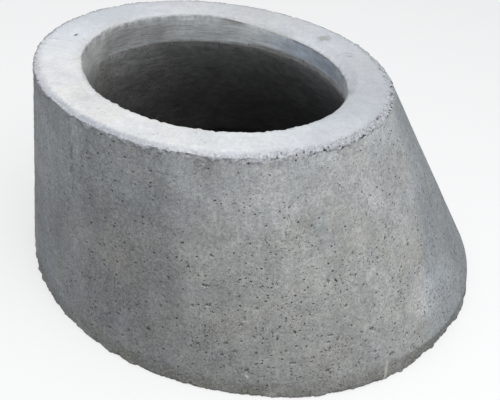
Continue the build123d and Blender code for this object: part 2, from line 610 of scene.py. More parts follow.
# Round the casting in degrees: the front that carries white slurry, with its softness
WHITE_FRONT = (-215.0, -112.0, 20.0)
# How far below a zone's end its finish still counts as that zone's
ZONE_MARGIN = 0.004
ZONES = (
    "underside", "arris", "skirt", "wall", "crest", "bevel", "ring", "lip", "throat", "hollow",
    "joint",
)

# Air holes and breaks that stand out in the photograph: angle round the casting in degrees, then
# height, width and tallness in millimetres
PLAIN_TO_SEE = (
    (-108.8, 224, 8, 7), (-92.8, 94, 5, 13), (-95.0, 101, 8, 5), (-104.2, 152, 12, 8),
    (-97.5, 140, 7, 6), (-111.2, 142, 5, 10), (-105.2, 92, 6, 5), (-108.2, 119, 5, 5),
    (-74.8, 116, 5, 9), (-109.5, 289, 6, 6), (-111.5, 290, 5, 7), (-103.8, 291, 7, 5),
    (-97.8, 273, 7, 6), (-95.0, 65, 6, 5), (-101.2, 70, 14, 4), (-114.5, 162, 12, 4),
    (-113.2, 150, 5, 8), (-115.6, 146, 9, 4), (-120.0, 110, 7, 7), (-120.6, 100, 5, 6),
    (-117.5, 72, 10, 6), (-101.2, 36, 6, 5), (-167.5, 293, 6, 6), (-137.8, 354, 8, 5),
    (-143.8, 319, 6, 5), (-140.5, 281, 11, 6), (-140.5, 234, 13, 5), (-144.2, 226, 8, 5),
    (-150.8, 229, 5, 6), (-150.5, 217, 5, 5), (-156.0, 126, 11, 7), (-144.5, 128, 9, 6),
    (-161.2, 98, 5, 9), (-166.3, 75, 12, 6), (-172.0, 45, 8, 8), (-162.8, 73, 6, 6),
    (-155.8, 44, 6, 5), (-127.5, 256, 6, 5), (-129.8, 238, 8, 5), (-133.0, 210, 5, 11),
    (-134.0, 196, 5, 9), (-127.5, 179, 5, 8), (-125.5, 194, 7, 6), (-124.0, 206, 5, 6),
    (-131.8, 168, 5, 7), (-138.2, 143, 13, 5), (-139.5, 110, 8, 6), (-136.5, 125, 5, 8),
    (-132.0, 125, 9, 6), (-122.5, 177, 6, 9), (-120.8, 141, 6, 6), (-123.0, 142, 5, 7),
    (-124.8, 99, 13, 5), (-130.0, 88, 6, 6), (-129.0, 87, 6, 6), (-134.8, 76, 8, 7),
    (-93.5, 460, 5, 5), (-91.0, 345, 5, 6), (-88.5, 330, 6, 5), (-96.0, 310, 9, 5),
    (-99.0, 313, 6, 5), (-84.0, 300, 9, 7), (-70.5, 292, 6, 6), (-72.5, 250, 5, 6),
    (-78.0, 235, 5, 6),
)

# Soft patches on the outer face: place in degrees and metres, half sizes, and how much paler
SIDE_PATCHES = (
    ((-197.0, 0.420), (16.0, 0.260), 0.16),
    ((-183.0, 0.300), (9.0, 0.240), -0.11),
    ((-159.0, 0.130), (10.0, 0.110), 0.03),
    ((-138.0, 0.545), (13.0, 0.050), -0.15),
    ((-131.5, 0.460), (9.0, 0.055), 0.09),
    ((-137.0, 0.270), (7.0, 0.070), -0.11),
    ((-127.0, 0.190), (12.0, 0.120), -0.07),
    ((-109.0, 0.400), (14.0, 0.160), -0.09),
    ((-116.0, 0.200), (9.0, 0.100), -0.05),
    ((-117.0, 0.035), (14.0, 0.030), 0.08),
    ((-101.0, 0.170), (9.0, 0.100), 0.07),
    ((-76.0, 0.320), (12.0, 0.130), -0.15),
    ((-88.0, 0.160), (11.0, 0.100), 0.22),
    ((-98.0, 0.455), (8.0, 0.070), -0.13),
    ((-110.5, 0.325), (6.0, 0.050), -0.09),
    ((-93.5, 0.275), (6.0, 0.070), 0.11),
    ((-100.0, 0.300), (10.0, 0.090), 0.06),
    ((-139.0, 0.360), (8.0, 0.080), 0.06),
    ((-172.0, 0.050), (7.0, 0.050), -0.10),
    ((-186.0, 0.080), (6.0, 0.080), 0.08),
    ((-174.5, 0.265), (4.0, 0.065), -0.12),
    ((-168.5, 0.160), (5.0, 0.090), 0.15),
    ((-151.5, 0.180), (6.0, 0.130), 0.11),
    ((-148.5, 0.080), (5.0, 0.110), 0.13),
)

# A pit painted as a dark spot of shade, a brown stain and a faint smudge on the top ring: place in
# metres, turn in degrees, half sizes in metres
RING_PIT_SHADE = ((-0.393, 0.280, 0.570), 118.0, (0.0026, 0.0085))
RING_STAIN = ((0.139, -0.024, 0.570), 12.0, (0.024, 0.016))
RING_SMUDGE = ((-0.545, -0.004, 0.570), 0.0, (0.036, 0.052))

# A dotted dark line down the wall: its angle in degrees, its foot and its top in metres
DOTTED_LINE = (-176.4, 0.415, 0.545)


def wall_ring(sizes, height):
    """The ring of the slanting wall at a height: its height, radius and centre in X."""
    part = (height - sizes.skirt_height) / (sizes.height - sizes.skirt_height)
    radius = sizes.foot_radius + (sizes.rim_radius - sizes.foot_radius) * part
    return (height, radius, sizes.shift * part)


def casting_spans(sizes):
    """Spans of the casting's section in order, from the inner edge of the foot all the way round.

    Each is (zone, material, ring at its end, steps), and a ring is (height, radius, centre in X).
    """
    foot = sizes.foot_radius
    height = sizes.height
    shift = sizes.shift
    opening = sizes.opening_radius
    bevel_foot = height - sizes.bevel_drop
    throat_low = height - sizes.throat_height
    draft = sizes.throat_draft
    wider = (throat_low - THROAT_ARRIS, opening + draft + 0.001, shift + draft + 0.001)
    spans = [
        ("underside", INSIDE, (0.0, foot - ARRIS, 0.0), 2),
        ("arris", SIDE, (ARRIS * 0.25, foot - ARRIS * 0.3, 0.0), 1),
        ("arris", SIDE, (ARRIS, foot, 0.0), 1),
        ("skirt", SIDE, (sizes.skirt_height - STEP_RISE, foot, 0.0), 6),
        ("skirt", SIDE, (sizes.skirt_height, foot, 0.0), 1),
        ("wall", SIDE, wall_ring(sizes, bevel_foot - CREST), 52),
        ("crest", SIDE, wall_ring(sizes, bevel_foot), 5),
        ("bevel", TOP, (height, sizes.rim_radius - sizes.bevel_width, shift), 4),
        ("ring", TOP, (height, opening + sizes.lip_radius, shift), 7),
    ]
    for step in range(1, LIP_STEPS + 1):
        turn = math.pi / 2 * step / LIP_STEPS
        drop = sizes.lip_radius * (1 - math.cos(turn))
        inward = sizes.lip_radius * math.sin(turn)
        spans.append(("lip", TOP, (height - drop, opening + sizes.lip_radius - inward, shift), 1))
    spans += [
        ("throat", INSIDE, (throat_low + THROAT_ARRIS, opening + draft, shift + draft), 8),
        ("hollow", INSIDE, wider, 2),
        ("hollow", INSIDE, (sizes.shoulder_height, sizes.shaft_radius, 0.0), 16),
        ("joint", INSIDE, (sizes.shoulder_height, sizes.socket_radius, 0.0), 1),
        ("joint", INSIDE, (0.0, sizes.socket_radius, 0.0), 2),
    ]
    return spans


def ring_matrix(ring):
    """Takes the unit circle on the ground to a ring of the section."""
    height, radius, centre = ring
    return Matrix.Translation((centre, 0, height)) @ Matrix.Diagonal((radius, radius, 1, 1))


def ring_between(first, last, part):
    """The ring a given part of the way from one to the other."""
    return tuple(a + (b - a) * part for a, b in zip(first, last))


def build_shell(sizes):
    """The plain casting: one circle, extruded ring by ring round the section.

    Each vertex carries its zone and where it lies along it: 0 to 1, or its height in metres where
    the rings of a zone have one step each.
    """
    shell = bmesh.new()
    zone_mark = shell.verts.layers.float.new("zone")
    along_mark = shell.verts.layers.float.new("along")
    ring = (0.0, sizes.socket_radius, 0.0)
    made = bmesh.ops.create_circle(shell, segments=sizes.segments, radius=1.0)
    bmesh.ops.transform(shell, matrix=ring_matrix(ring), verts=made["verts"])
    edges = shell.edges[:]
    for zone, material, end, steps in casting_spans(sizes):
        start = ring
        for step in range(1, steps + 1):
            following = ring_between(start, end, step / steps)
            geometry = bmesh.ops.extrude_edge_only(shell, edges=edges)["geom"]
            verts = [item for item in geometry if isinstance(item, bmesh.types.BMVert)]
            fresh = set(verts)
            edges = [
                item
                for item in geometry
                if isinstance(item, bmesh.types.BMEdge) and fresh.issuperset(item.verts)
            ]
            move = ring_matrix(following) @ ring_matrix(ring).inverted()
            bmesh.ops.transform(shell, matrix=move, verts=verts)
            for item in geometry:
                if isinstance(item, bmesh.types.BMFace):
                    item.material_index = material
                    item.smooth = True
            for vert in verts:
                vert[zone_mark] = ZONES.index(zone)
                single = zone in ("lip", "arris")
                vert[along_mark] = following[0] if single else step / steps
            ring = following
    return shell


def put_in_order(shell):
    """Order edges and faces by their vertices, as Blender gives them back in no fixed order."""
    shell.verts.index_update()
    for items in (shell.edges, shell.faces):
        ranked = sorted(items, key=lambda item: sorted(vert.index for vert in item.verts))
        rank = {item: place for place, item in enumerate(ranked)}
        items.sort(key=rank.get)
        items.index_update()


def close_shell(shell):
    """Merge the last ring with the first, and turn every face outwards."""
    bmesh.ops.remove_doubles(shell, verts=shell.verts[:], dist=SAME_PLACE)
    put_in_order(shell)
    bmesh.ops.recalc_face_normals(shell, faces=shell.faces[:])
    shell.normal_update()


def zone_at(shell, vert):
    """The zone of a vertex and where it lies along it."""
    mark = vert[shell.verts.layers.float["zone"]]
    return ZONES[round(mark)], vert[shell.verts.layers.float["along"]]


def narrow_cells(shell, zones, cuts):
    """Cut the cells of these zones into narrower ones, side by side."""
    edges = []
    for edge in shell.edges:
        first, last = (zone_at(shell, vert) for vert in edge.verts)
        if first == last and first[0] in zones:
            edges.append(edge)
    bmesh.ops.subdivide_edges(shell, edges=edges, cuts=cuts)
    put_in_order(shell)


def smooth_step(value, low, high):
    """0 below low, 1 above high, and smooth between them."""
    part = max(0.0, min(1.0, (value - low) / (high - low)))
    return part * part * (3 - 2 * part)


def limited(value):
    """The value, kept from 0 to 1."""
    return max(0.0, min(1.0, value))


def bearing(point, inside, sizes):
    """Angle round the casting in degrees, from the middle of the wall at that height."""
    top = sizes.height - sizes.throat_height if inside else sizes.height
    foot = sizes.shoulder_height if inside else sizes.skirt_height
    part = limited((point.z - foot) / (top - foot))
    return math.degrees(math.atan2(point.y, point.x - sizes.shift * part))


def apart(angle, other):
    """How far two angles in degrees are from each other, 0 to 180."""
    return abs((angle - other + 180.0) % 360.0 - 180.0)


def between(angle, first, last, soft):
    """1 for angles from first to last in degrees, with soft ends."""
    half = (last - first) / 2
    return 1.0 - smooth_step(apart(angle, (first + last) / 2), half - soft / 2, half + soft / 2)


def patch(angle, height, at, half):
    """1 in the middle of a soft round patch, falling to 0 at its half sizes in degrees and metres."""
    away = math.hypot(apart(angle, at[0]) / half[0], (height - at[1]) / half[1])
    return 1.0 - smooth_step(away, 0.0, 1.0)


def ripple(point, pitch, offset=0.0):
    """Smooth noise from -1 to 1 that repeats its bumps about once in a pitch."""
    return noise.noise(point / pitch + Vector((offset, offset, offset)))


def flat_direction(point, centre):
    """The level direction from a centre line to a point."""
    return (point - centre).to_2d().normalized().to_3d()


def rim_field(angle, spot):
    """How broken the rim is at a spot, 0 to 1: pits gather where the rim faces the slope."""
    broken = 0.28 + 0.72 * between(angle, -118.0, -12.0, 16.0)
    lumps = ripple(spot, 0.0075, 8.8) + 0.7 * ripple(spot, 0.0045, 3.1)
    gathered = smooth_step(ripple(spot, 0.050, 6.6), -0.45, 0.15)
    thick = between(angle, -92.0, -36.0, 14.0)
    level = 0.18 - 0.14 * thick
    return broken * max(gathered, thick) * smooth_step(lumps, level, level + 0.20)


def spill_reach(angle, spot):
    """How far below the rim's outer edge the set slurry hangs, in metres."""
    long = 0.0034 + 0.0040 * between(angle, -205.0, -95.0, 40.0)
    return long * (0.75 + 1.4 * ripple(spot, 0.022, 7.0) + 1.5 * ripple(spot, 0.0085, 7.9))


def rim_move(shell, vert, sizes, wear):
    """How the rim's outer edge is bitten, sags, drips over the wall and is pitted."""
    spot = vert.co
    centre = Vector((sizes.shift, 0, 0))
    outward = flat_direction(spot, centre)
    angle = bearing(spot, False, sizes)
    zone = zone_at(shell, vert)[0]
    below = sizes.height - sizes.bevel_drop - spot.z
    inward = sizes.rim_radius - (spot - centre).to_2d().length
    edge = 1.0 - smooth_step(max(below, inward), 0.0, 0.008)
    bite = ripple(spot, 0.024) + 0.9 * ripple(spot, 0.009, 2.7)
    sag = ripple(spot, 0.045, 9.1) + 0.6 * ripple(spot, 0.012, 5.2)
    move = outward * wear.rim_ragged * 0.35 * bite * edge
    move.z = wear.rim_ragged * 0.50 * sag * edge
    if zone != "bevel":
        hang = spill_reach(angle, spot)
        proud = smooth_step(hang + 0.0015 - below, 0.0, 0.0022) * smooth_step(hang, 0.0005, 0.004)
        move += outward * wear.rim_spill * proud * (0.7 + 0.5 * ripple(spot, 0.013, 1.3))
    far = max(below - 0.004, inward - 0.011)
    pit = rim_field(angle, spot) * (1.0 - smooth_step(far, 0.0, 0.004))
    move -= vert.normal * wear.rim_pits * pit
    return move


def foot_move(zone, angle, spot, wear):
    """How the foot's outer edge is chipped, and where concrete has spilled out under the form."""
    outward = flat_direction(spot, Vector((0, 0, 0)))
    coarse = ripple(spot, 0.034)
    fine = ripple(spot, 0.012, 3.3) + 1.2 * ripple(spot, 0.0055, 5.5)
    low = 1.0 - smooth_step(spot.z, 0.0, 0.014)
    lumps = max(0.0, ripple(spot, 0.026, 5.9))
    move = outward * wear.foot_ragged * (0.45 * fine + 0.30 * coarse + 1.20 * lumps - 0.10) * low
    spilled = between(angle, -74.0, -50.0, 7.0) + 0.55 * between(angle, -126.0, -94.0, 9.0)
    spilled *= 1.0 - smooth_step(spot.z, 0.012, 0.052)
    move += outward * wear.foot_spill * spilled * (0.85 + 0.5 * ripple(spot, 0.028, 2.6))
    if zone != "underside":
        move.z = wear.foot_ragged * 0.30 * abs(fine) * low
    return move


def skirt_move(angle, spot, sizes):
    """The seam between the skirt's form and the wall's."""
    outward = flat_direction(spot, Vector((0, 0, 0)))
    seam = 0.06 + 0.30 * between(angle, -92.0, 60.0, 30.0) + 0.6 * between(angle, 90.0, 200.0, 60.0)
    return outward * SEAM_PROUD * groove_shape(spot.z - sizes.skirt_height) * seam


def lip_size(angle):
    """Radius of the lip at an angle: round in front and on the right, sharp behind and left."""
    return 0.020 - 0.013 * between(angle, 34.0, 160.0, 36.0)


def lip_move(vert, along, sizes, wear):
    """How the lip differs from the plain round one, and how its edge is bitten."""
    spot = vert.co
    angle = bearing(spot, False, sizes)
    outward = flat_direction(spot, Vector((sizes.shift, 0, 0)))
    flat = 1.0 - (sizes.height - along) / sizes.lip_radius
    steep = math.sqrt(max(0.0, 1.0 - flat * flat))
    less = sizes.lip_radius - lip_size(angle)
    move = outward * -less * (1.0 - steep)
    move.z = less * (1.0 - flat)
    slant = 0.65 * between(angle, -56.0, 40.0, 20.0)
    chord = (steep + 1.0 - flat) / 2
    move += outward * slant * sizes.lip_radius * (steep - chord)
    move.z -= slant * sizes.lip_radius * (chord - (1.0 - flat))
    teeth = 0.7 * ripple(spot, 0.017) + 0.7 * ripple(spot, 0.0075, 7.7)
    teeth += 1.9 * ripple(spot, 0.010, 4.2) * between(angle, -215.0, -90.0, 40.0)
    return move - outward * wear.lip_ragged * teeth


def roughen(shell, sizes, wear):
    """Give the plain casting its unevenness, its ragged rim, lip and foot."""
    moves = {}
    for vert in shell.verts:
        zone, along = zone_at(shell, vert)
        spot = vert.co.copy()
        angle = bearing(spot, False, sizes)
        slow = 0.7 * ripple(spot, 0.16) + 0.3 * ripple(spot, 0.055, 1.9)
        fine = ripple(spot, 0.020, 4.1) + 0.8 * ripple(spot, 0.010, 6.4)
        swell = {"ring": 0.35, "joint": 0.3, "underside": 0.0}.get(zone, 1.0)
        grit = {"ring": 0.5, "hollow": 2.0, "underside": 0.0}.get(zone, 1.0)
        if zone == "wall":
            grit += 3.0 * between(angle, -240.0, -194.0, 20.0)
        move = vert.normal * (wear.waviness * slow * swell + wear.roughness * fine * grit)
        if zone in ("bevel", "crest") or (zone == "wall" and along > 0.97):
            move += rim_move(shell, vert, sizes, wear)
        if zone == "lip":
            move += lip_move(vert, along, sizes, wear)
        if zone in ("arris", "skirt") or (zone == "underside" and along > 0.7):
            move += foot_move(zone, angle, spot, wear)
        if zone in ("arris", "skirt") or (zone == "wall" and along < 0.1):
            move += skirt_move(angle, spot, sizes)
        moves[vert] = move
    for vert, move in moves.items():
        vert.co += move
        if vert.co.z < 0.0:
            vert.co.z = 0.0
    shell.normal_update()


def groove_shape(above):
    """The skirt stands a little proud of the wall just above it, where two forms met."""
    lip = math.exp(-((above + 0.006) / 0.008) ** 2)
    sunk = math.exp(-((above - 0.010) / 0.008) ** 2)
    return lip - sunk


def pitting(angle, spot):
    """How thickly the air holes stand on the outer face, 0 to 1: in drifts, low and in front."""
    drift = smooth_step(ripple(spot, 0.060, 2.2), -0.30, 0.50)
    low = 1.0 - 0.65 * smooth_step(spot.z, 0.18, 0.54)
    facing = 0.75 + 0.25 * between(angle, -140.0, 60.0, 40.0)
    return limited((0.25 + 0.75 * drift) * low * facing)


def hole_chance(zone, angle, spot, wear):
    """Chance that a cell of that zone holds an air hole."""
    drift = smooth_step(ripple(spot, 0.060, 2.2), -0.20, 0.50)
    if zone == "side":
        return wear.hole_share * 2.0 * pitting(angle, spot)
    if zone == "throat":
        return wear.hole_share * 0.06 * drift
    if zone == "hollow":
        left = between(angle, 70.0, 210.0, 40.0)
        return wear.hole_share * (0.4 + 1.6 * drift) * (0.4 + 1.4 * left)
    return 0.0


def zone_of(face, sizes):
    """The zone of a face, from its finish and its place."""
    middle = face.calc_center_median()
    if face.material_index == SIDE:
        plain = 0.010 < middle.z < sizes.height - sizes.bevel_drop - CREST
        return "side" if plain else "arris"
    if face.material_index == TOP:
        return "ring"
    if middle.z > sizes.height - sizes.throat_height + ZONE_MARGIN:
        return "throat"
    return "hollow" if middle.z > sizes.shoulder_height + ZONE_MARGIN else "joint"


def spot_on_wall(sizes, angle, height):
    """The point of the outer face at an angle in degrees and a height."""
    _, radius, centre = wall_ring(sizes, max(height, sizes.skirt_height))
    turn = math.radians(angle)
    return Vector((centre + radius * math.cos(turn), radius * math.sin(turn), height))


def side_tree(shell):
    """The outer faces and a search tree of their middles."""
    faces = [face for face in shell.faces if face.material_index == SIDE]
    tree = KDTree(len(faces))
    for index, face in enumerate(faces):
        tree.insert(face.calc_center_median(), index)
    tree.balance()
    return faces, tree


def open_plain_holes(shell, sizes, rng, bottoms):
    """Cut the cells round each hole of PLAIN_TO_SEE finer, and sink those that it takes up."""
    holes = [
        (spot_on_wall(sizes, angle, height * MILLIMETRE), width * MILLIMETRE, tall * MILLIMETRE)
        for angle, height, width, tall in PLAIN_TO_SEE
    ]
    faces, tree = side_tree(shell)
    cells = {}
    for spot, width, tall in holes:
        for _, index, _ in tree.find_range(spot, max(width, tall) * 0.5 + 0.005):
            cells[faces[index]] = True
    edges = list(dict.fromkeys(edge for face in cells for edge in face.edges))
    bmesh.ops.subdivide_edges(shell, edges=edges, cuts=2, use_grid_fill=True)
    put_in_order(shell)
    faces, tree = side_tree(shell)
    taken = set()
    for spot, width, tall in holes:
        chosen = []
        for where, index, _ in tree.find_range(spot, max(width, tall)):
            across = (where - spot).to_2d().length / (width * 0.5)
            upward = (where.z - spot.z) / (tall * 0.5)
            bound = 1.0 + 0.7 * ripple(where, 0.005, 6.1)
            if math.hypot(across, upward) < bound and faces[index] not in taken:
                chosen.append(faces[index])
        if not chosen:
            chosen = [faces[tree.find(spot)[1]]]
        if chosen[0] in taken:
            continue
        taken.update(chosen)
        rims = bmesh.ops.inset_region(
            shell,
            faces=chosen,
            thickness=HOLE_EDGE,
            depth=0.0,
            use_even_offset=True,
            use_boundary=True,
        )["faces"]
        for face in chosen + rims:
            face.smooth = False
            taken.add(face)
        floor = dict.fromkeys(vert for face in chosen for vert in face.verts)
        for vert in floor:
            inward = sum((face.normal for face in vert.link_faces), Vector()).normalized()
            vert.co -= inward * min(HOLE_DEEPEST, width * 0.6) * rng.uniform(0.7, 1.1)
            bottoms[vert] = 1.0
    return taken


def round_mouth(face, width, flatness, rng):
    """Lay a face's corners on a small uneven oval that is wider than tall."""
    middle = face.calc_center_median()
    side = Vector((0, 0, 1)).cross(face.normal)
    side = side.normalized() if side.length > 0.1 else Vector((1, 0, 0))
    rise = face.normal.cross(side)
    lean = rng.uniform(-0.5, 0.5)
    side, rise = (
        side * math.cos(lean) + rise * math.sin(lean),
        rise * math.cos(lean) - side * math.sin(lean),
    )
    for vert in face.verts:
        offset = vert.co - middle
        turn = math.atan2(offset.dot(rise), offset.dot(side))
        reach = width * 0.5 * rng.uniform(0.75, 1.15)
        across = side * math.cos(turn) * reach
        vert.co = middle + across + rise * math.sin(turn) * reach * flatness


def open_small_holes(shell, sizes, wear, rng, taken, bottoms):
    """Open the scattered air holes, each within one cell."""
    chosen = []
    for face in shell.faces:
        draw = rng.random()
        if face in taken or len(face.verts) != 4:
            continue
        zone = zone_of(face, sizes)
        spot = face.calc_center_median()
        angle = bearing(spot, face.material_index == INSIDE, sizes)
        if draw < hole_chance(zone, angle, spot, wear):
            chosen.append(face)
    spans = [min(edge.calc_length() for edge in face.edges) for face in chosen]
    bmesh.ops.inset_individual(shell, faces=chosen, thickness=HAIR, depth=0.0)
    edges = list(dict.fromkeys(edge for face in chosen for edge in face.edges))
    bmesh.ops.bisect_edges(shell, edges=edges, cuts=1)
    widths = []
    for face, span in zip(chosen, spans):
        width = span * rng.choice((0.35, 0.45, 0.60, 0.80))
        widths.append(width)
        round_mouth(face, width, rng.uniform(0.45, 0.95), rng)
    rims = bmesh.ops.inset_individual(shell, faces=chosen, thickness=HAIR, depth=0.0)["faces"]
    for face in rims:
        face.smooth = False
    for face, width in zip(chosen, widths):
        face.smooth = False
        middle = face.calc_center_median()
        sink = face.normal * width * rng.uniform(0.5, 0.9)
        for vert in face.verts:
            vert.co = middle + (vert.co - middle) * 0.75 - sink
            bottoms[vert] = 1.0


def open_holes(shell, sizes, wear, rng):
    """Open the air holes; gives the vertices at their bottoms, which are painted dark as shade, and
    how dark they are.
    """
    bottoms = {}
    taken = open_plain_holes(shell, sizes, rng, bottoms)
    open_small_holes(shell, sizes, wear, rng, taken, bottoms)
    return bottoms


MASKS = (
    "hole", "shade", "cool", "blue", "cream", "laitance", "soil", "crest", "bevel", "slurry",
    "throat", "chip", "pitting",
)


def paint_masks(shell, bottoms, sizes):
    """Write the masks that the materials read, one value for each vertex."""
    layers = {name: shell.verts.layers.float.new(name) for name in MASKS}
    wrap = shell.verts.layers.float_vector.new("wrap")
    for vert in shell.verts:
        finishes = {face.material_index for face in vert.link_faces}
        inside = INSIDE in finishes and SIDE not in finishes and TOP not in finishes
        angle = bearing(vert.co, inside, sizes)
        turn = math.radians(angle)
        vert[wrap] = Vector((math.cos(turn), math.sin(turn), vert.co.z))
        if SIDE in finishes:
            values = side_masks(angle, vert.co, sizes)
        elif TOP in finishes:
            values = top_masks(angle, vert.co, sizes)
        else:
            values = inside_masks(angle, vert.co, sizes)
        # Hole bottoms take the dark colour: painted shade
        values["hole"] = max(values.get("hole", 0.0), bottoms.get(vert, 0.0))
        for name, value in values.items():
            vert[layers[name]] = value
    for name in ("zone", "along"):
        shell.verts.layers.float.remove(shell.verts.layers.float[name])


def side_masks(angle, spot, sizes):
    """Shade, tints, slurry, dirt and painted shade on the skirt, and chips on the outer face."""
    height = spot.z
    ragged = ripple(spot, 0.05) + 0.6 * ripple(spot, 0.018, 1.1)
    # The wall is darker on the left up to an upright boundary, and paler in front of the slope. In
    # front it is painted darker low down and paler near the top: painted shade and light
    shade = 1.0
    shade -= 0.25 * between(angle + 2.0 * ragged, -172.0, -147.0, 8.0)
    shade -= 0.08 * between(angle + 3.0 * ragged, -149.0, -134.0, 10.0)
    shade += 0.07 * between(angle + 2.0 * ragged, -121.0, -84.0, 12.0)
    shade += 0.05 * smooth_step(height, 0.40, 0.56) * between(angle, -165.0, -90.0, 30.0)
    lower = 1.0 - smooth_step(height, 0.10, 0.36)
    shade -= 0.10 * lower * between(angle, -142.0, -88.0, 20.0)
    shade += 0.06 * between(angle, -90.0, -72.0, 12.0) - 0.08 * between(angle, -68.0, 40.0, 16.0)
    # Painted shade: on the right, where the wall turns away from the lamps, a slanting strip is
    # darker and bluer
    slanted = angle - 60.0 * (height - 0.172) + 84.2
    turned_away_shade = smooth_step(slanted, -2.0, 3.0) * between(angle, -90.0, 10.0, 30.0)
    shade -= 0.09 * turned_away_shade
    # A dotted dark line runs down the wall from a chip in the rim
    dots = smooth_step(ripple(spot, 0.010, 3.0), -0.25, 0.25)
    line = 1.0 - smooth_step(apart(angle, DOTTED_LINE[0]), 0.35, 1.1)
    line *= smooth_step(height, DOTTED_LINE[1] - 0.04, DOTTED_LINE[1])
    line *= 1.0 - smooth_step(height, DOTTED_LINE[2], DOTTED_LINE[2] + 0.02)
    shade -= 0.40 * line * dots
    for place_at, half, paler in SIDE_PATCHES:
        shade += paler * patch(angle, height, place_at, half)
    # The strip of painted shade is also tinted bluer
    cool = 0.15 + 0.85 * turned_away_shade + 0.24 * between(angle, -215.0, -179.0, 12.0)
    cool += 0.36 * between(angle, -215.0, -150.0, 30.0)
    cool += 0.35 * smooth_step(height, 0.30, 0.52)
    cool += 0.5 * patch(angle, height, (-144.0, 0.530), (8.0, 0.060))
    cool += 0.35 * patch(angle, height, (-77.0, 0.300), (5.0, 0.070))
    cool -= 0.35 * patch(angle, height, (-163.0, 0.300), (9.0, 0.190))
    cool -= 0.6 * patch(angle, height, (-103.0, 0.420), (7.0, 0.090))
    cool += 0.25 * ripple(spot, 0.09, 4.4)
    # The skirt is darkened with dirt; on the right, under the leaning wall, the darkening is partly
    # painted shade
    low = 1.0 - smooth_step(height + 0.016 * ragged, 0.022, sizes.skirt_height + 0.014)
    under = 1.0 - smooth_step(height, sizes.skirt_height - STEP_RISE, sizes.skirt_height)
    steep = between(angle, -96.0, 40.0, 20.0)
    soil = low * (0.56 + 0.50 * ragged) * (1.0 - steep) + under * steep * (0.62 + 0.30 * ragged)
    smudge = patch(angle, height, (-189.5, 0.083), (4.0, 0.055))
    smudge += 0.9 * patch(angle, height, (-183.5, 0.035), (4.0, 0.030))
    smudge += 0.5 * patch(angle, height, (-192.0, 0.200), (3.0, 0.120))
    scratch = between(angle + 9.0 * (height - 0.035), -103.5, -102.9, 0.35)
    scratch *= between(math.degrees(height), math.degrees(0.010), math.degrees(0.056), 0.2)
    chip = patch(angle, height, (-135.0, 0.061), (0.45, 0.005))
    below = sizes.height - sizes.bevel_drop - height
    near_rim = 1.0 - smooth_step(below, 0.005, 0.009)
    return {
        "shade": shade,
        "cool": limited(cool),
        "laitance": limited(0.7 * smudge * limited(0.7 + 0.9 * ragged)),
        "soil": limited(soil),
        "crest": below - spill_reach(angle, spot) + 0.0015,
        "chip": limited(0.7 * scratch + 2.0 * chip),
        "pitting": pitting(angle, spot),
        "slurry": 0.15 + 0.85 * between(angle, *WHITE_FRONT),
        "hole": 0.6 * near_rim * rim_field(angle, spot),
    }


def top_masks(angle, spot, sizes):
    """Shade, tints, the bevel's tone and the lip's turn into the throat on the top ring."""
    away = (spot - Vector((sizes.shift, 0, spot.z))).length
    ragged = ripple(spot, 0.03) + 0.8 * ripple(spot, 0.011, 2.0)
    front = between(angle, *WHITE_FRONT)
    left = between(angle, -188.0, -150.0, 24.0)
    shade = 1.0 + 0.07 * between(angle, 130.0, 215.0, 40.0)
    shade -= 0.10 * between(angle, -112.0, 42.0, 40.0) + 0.08 * between(angle, -98.0, -12.0, 40.0)
    shade -= 0.07 * between(angle, -75.0, -20.0, 30.0) + 0.05 * between(angle, 15.0, 60.0, 30.0)
    specks = math.hypot(apart(angle, -21.7) / 2.5, (away - 0.343) / 0.014)
    shade -= 0.30 * (1.0 - smooth_step(specks, 0.5, 1.2)) * smooth_step(ripple(spot, 0.008), 0.0, 0.3)
    crack = 1.0 - smooth_step(apart(angle, 130.9) * 0.0065, 0.0008, 0.0026)
    crack *= smooth_step(away, 0.325, 0.340) * smooth_step(ripple(spot, 0.016, 0.4), -0.35, 0.10)
    shade -= 0.42 * crack
    fringe = between(angle, 95.0, 200.0, 30.0) * (1.0 - smooth_step(away, 0.304, 0.322))
    shade -= 0.08 * fringe
    near_rim = 1.0 - smooth_step(sizes.rim_radius - away, 0.010, 0.016)
    # The pale tone runs over the lip on the right, and stops at the lip's top on the left
    start = 0.0010 + 0.0105 * between(angle, 8.0, 46.0, 20.0)
    over = between(angle, -56.0, 10.0, 14.0)
    start += 0.0185 * over
    drop = sizes.height - spot.z
    turned = smooth_step(drop, start, start + 0.0030)
    # Painted light: on the right the lip is made paler the further it turns down, away from the
    # overhead lamp
    shade += 16.0 * over * max(0.0, min(drop, 0.018))
    inner = 1.0 if away < sizes.opening_radius + sizes.lip_radius + 0.003 else 0.0
    cool = 0.45 * between(angle, -152.0, -60.0, 30.0) + 0.32 * between(angle, -60.0, 12.0, 30.0)
    cool += 0.35 * between(angle, 75.0, 135.0, 30.0)
    return {
        "shade": shade,
        "cool": cool,
        "cream": limited(between(angle, -200.0, -100.0, 60.0) + 1.5 * fringe),
        "crest": sizes.rim_radius - away - 0.009 * between(angle, -120.0, -14.0, 16.0),
        "bevel": (0.15 + 0.35 * front + 0.50 * left) * limited(0.95 + 0.40 * ragged),
        "slurry": 0.15 + 0.85 * front,
        "throat": inner * turned,
        "hole": 0.55 * near_rim * rim_field(angle, spot),
    }


